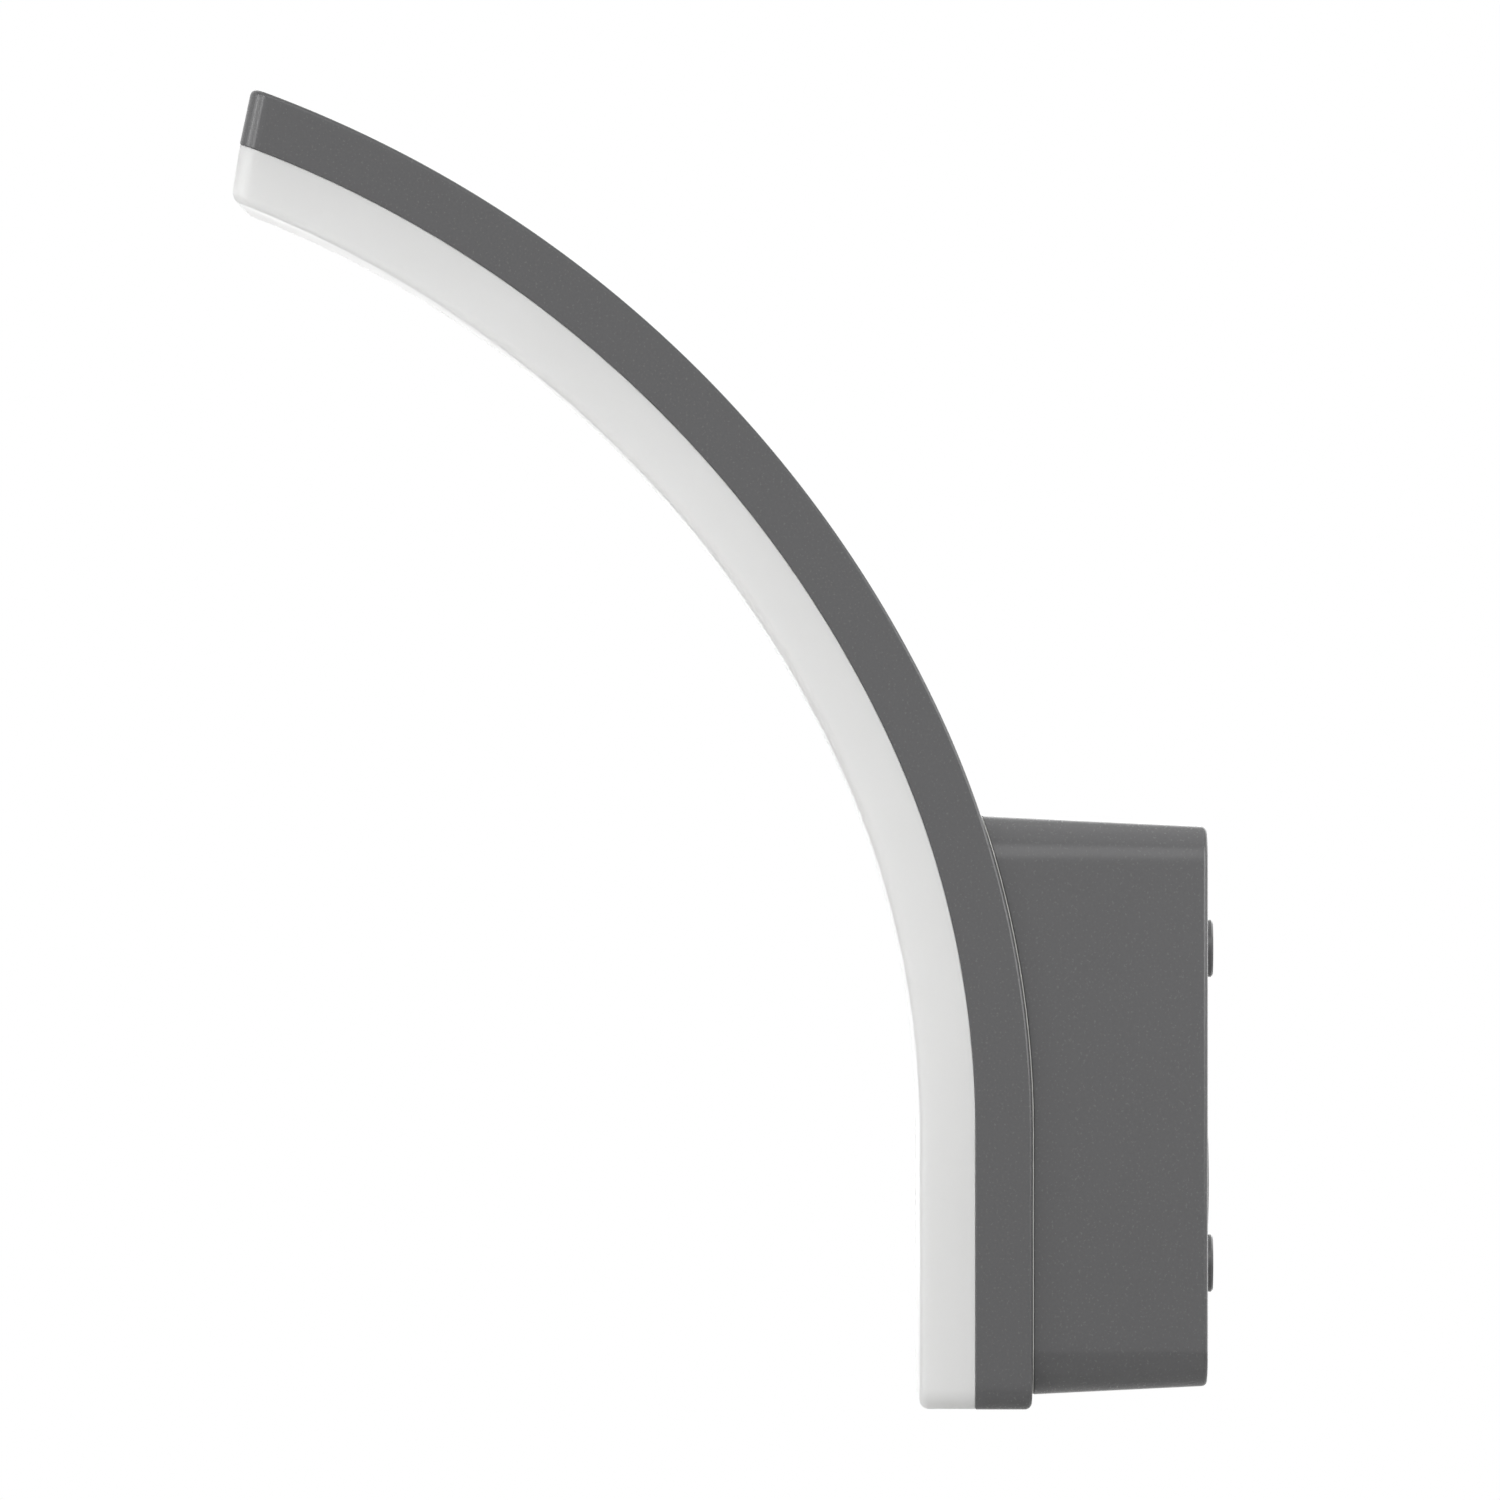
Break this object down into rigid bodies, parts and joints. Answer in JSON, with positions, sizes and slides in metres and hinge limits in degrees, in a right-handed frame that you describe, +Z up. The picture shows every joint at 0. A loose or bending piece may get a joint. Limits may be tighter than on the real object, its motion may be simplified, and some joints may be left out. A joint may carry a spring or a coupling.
{
  "type": "wall light",
  "caption": "Outdoor wall light: a shallow drafted wall box carries a rigid arm that curves up and outwards, with an opal diffuser all along its lit side.",
  "frame": {"origin": "middle of the four fixing holes, on the wall plane", "axes": "+Y into the wall, +Z up along the arm, X across the arm"},
  "size_m": [0.08, 0.1865, 0.2507],
  "materials": {
    "housing": "die-cast, anthracite grey powder coat, fine satin texture",
    "opal": "opal white moulded polycarbonate, satin",
    "seal_rubber": "moulded black rubber, matt",
    "silicone": "translucent white silicone, matt",
    "zinc_steel": "zinc plated, turned and pressed",
    "carrier_aluminium": "rolled strip, mill finish",
    "solder_mask_white": "white solder mask over glass laminate",
    "led_package": "phosphor filled package",
    "connector_white": "moulded nylon",
    "tray_steel": "galvanised sheet, pressed",
    "driver_plastic": "moulded white polycarbonate, fine texture",
    "solder_mask_green": "green solder mask over glass laminate",
    "ferrite": "sintered ferrite with a taped winding",
    "capacitor_sleeve": "shrink sleeve",
    "terminal_plastic": "moulded polyamide",
    "clamp_brass": "turned and pressed brass, bare",
    "lead_brown": "extruded insulation",
    "lead_blue": "extruded insulation",
    "lead_green_yellow": "extruded insulation, green with a yellow stripe",
    "lead_red": "extruded insulation",
    "lead_black": "extruded insulation"
  },
  "bodies": {
    "wall_base": {"wall_box": "housing", "box_gasket": "silicone", "cable_grommet": "seal_rubber", "locking_screws": "zinc_steel", "locking_nuts": "zinc_steel"},
    "arm": {"arm_channel": "housing", "diffuser": "opal", "diffuser_seal": "silicone", "led_carrier": "carrier_aluminium", "led_board": "solder_mask_white", "led_chips": "led_package", "led_board_screws": "zinc_steel", "board_connector": "connector_white", "wire_grommet": "seal_rubber", "driver_tray": "tray_steel", "tray_screws": "zinc_steel", "driver_lid": "driver_plastic", "driver_case": "driver_plastic", "driver_board": "solder_mask_green", "driver_transformer": "ferrite", "driver_capacitors": "capacitor_sleeve", "driver_choke": "ferrite", "driver_screws": "zinc_steel", "terminal_block": "terminal_plastic", "terminal_clamps": "clamp_brass", "terminal_screws": "zinc_steel", "terminal_fixing_screws": "zinc_steel", "earth_tag": "clamp_brass", "earth_screw": "zinc_steel", "earth_lead": "lead_green_yellow", "live_lead": "lead_brown", "neutral_lead": "lead_blue", "led_lead_plus": "lead_red", "led_lead_minus": "lead_black"}
  },
  "joints": [
    {"name": "arm_release", "type": "slide", "parent": "wall_base", "child": "arm", "axis": [0, -1, 0], "range_m": [0, 0.04]}
  ]
}
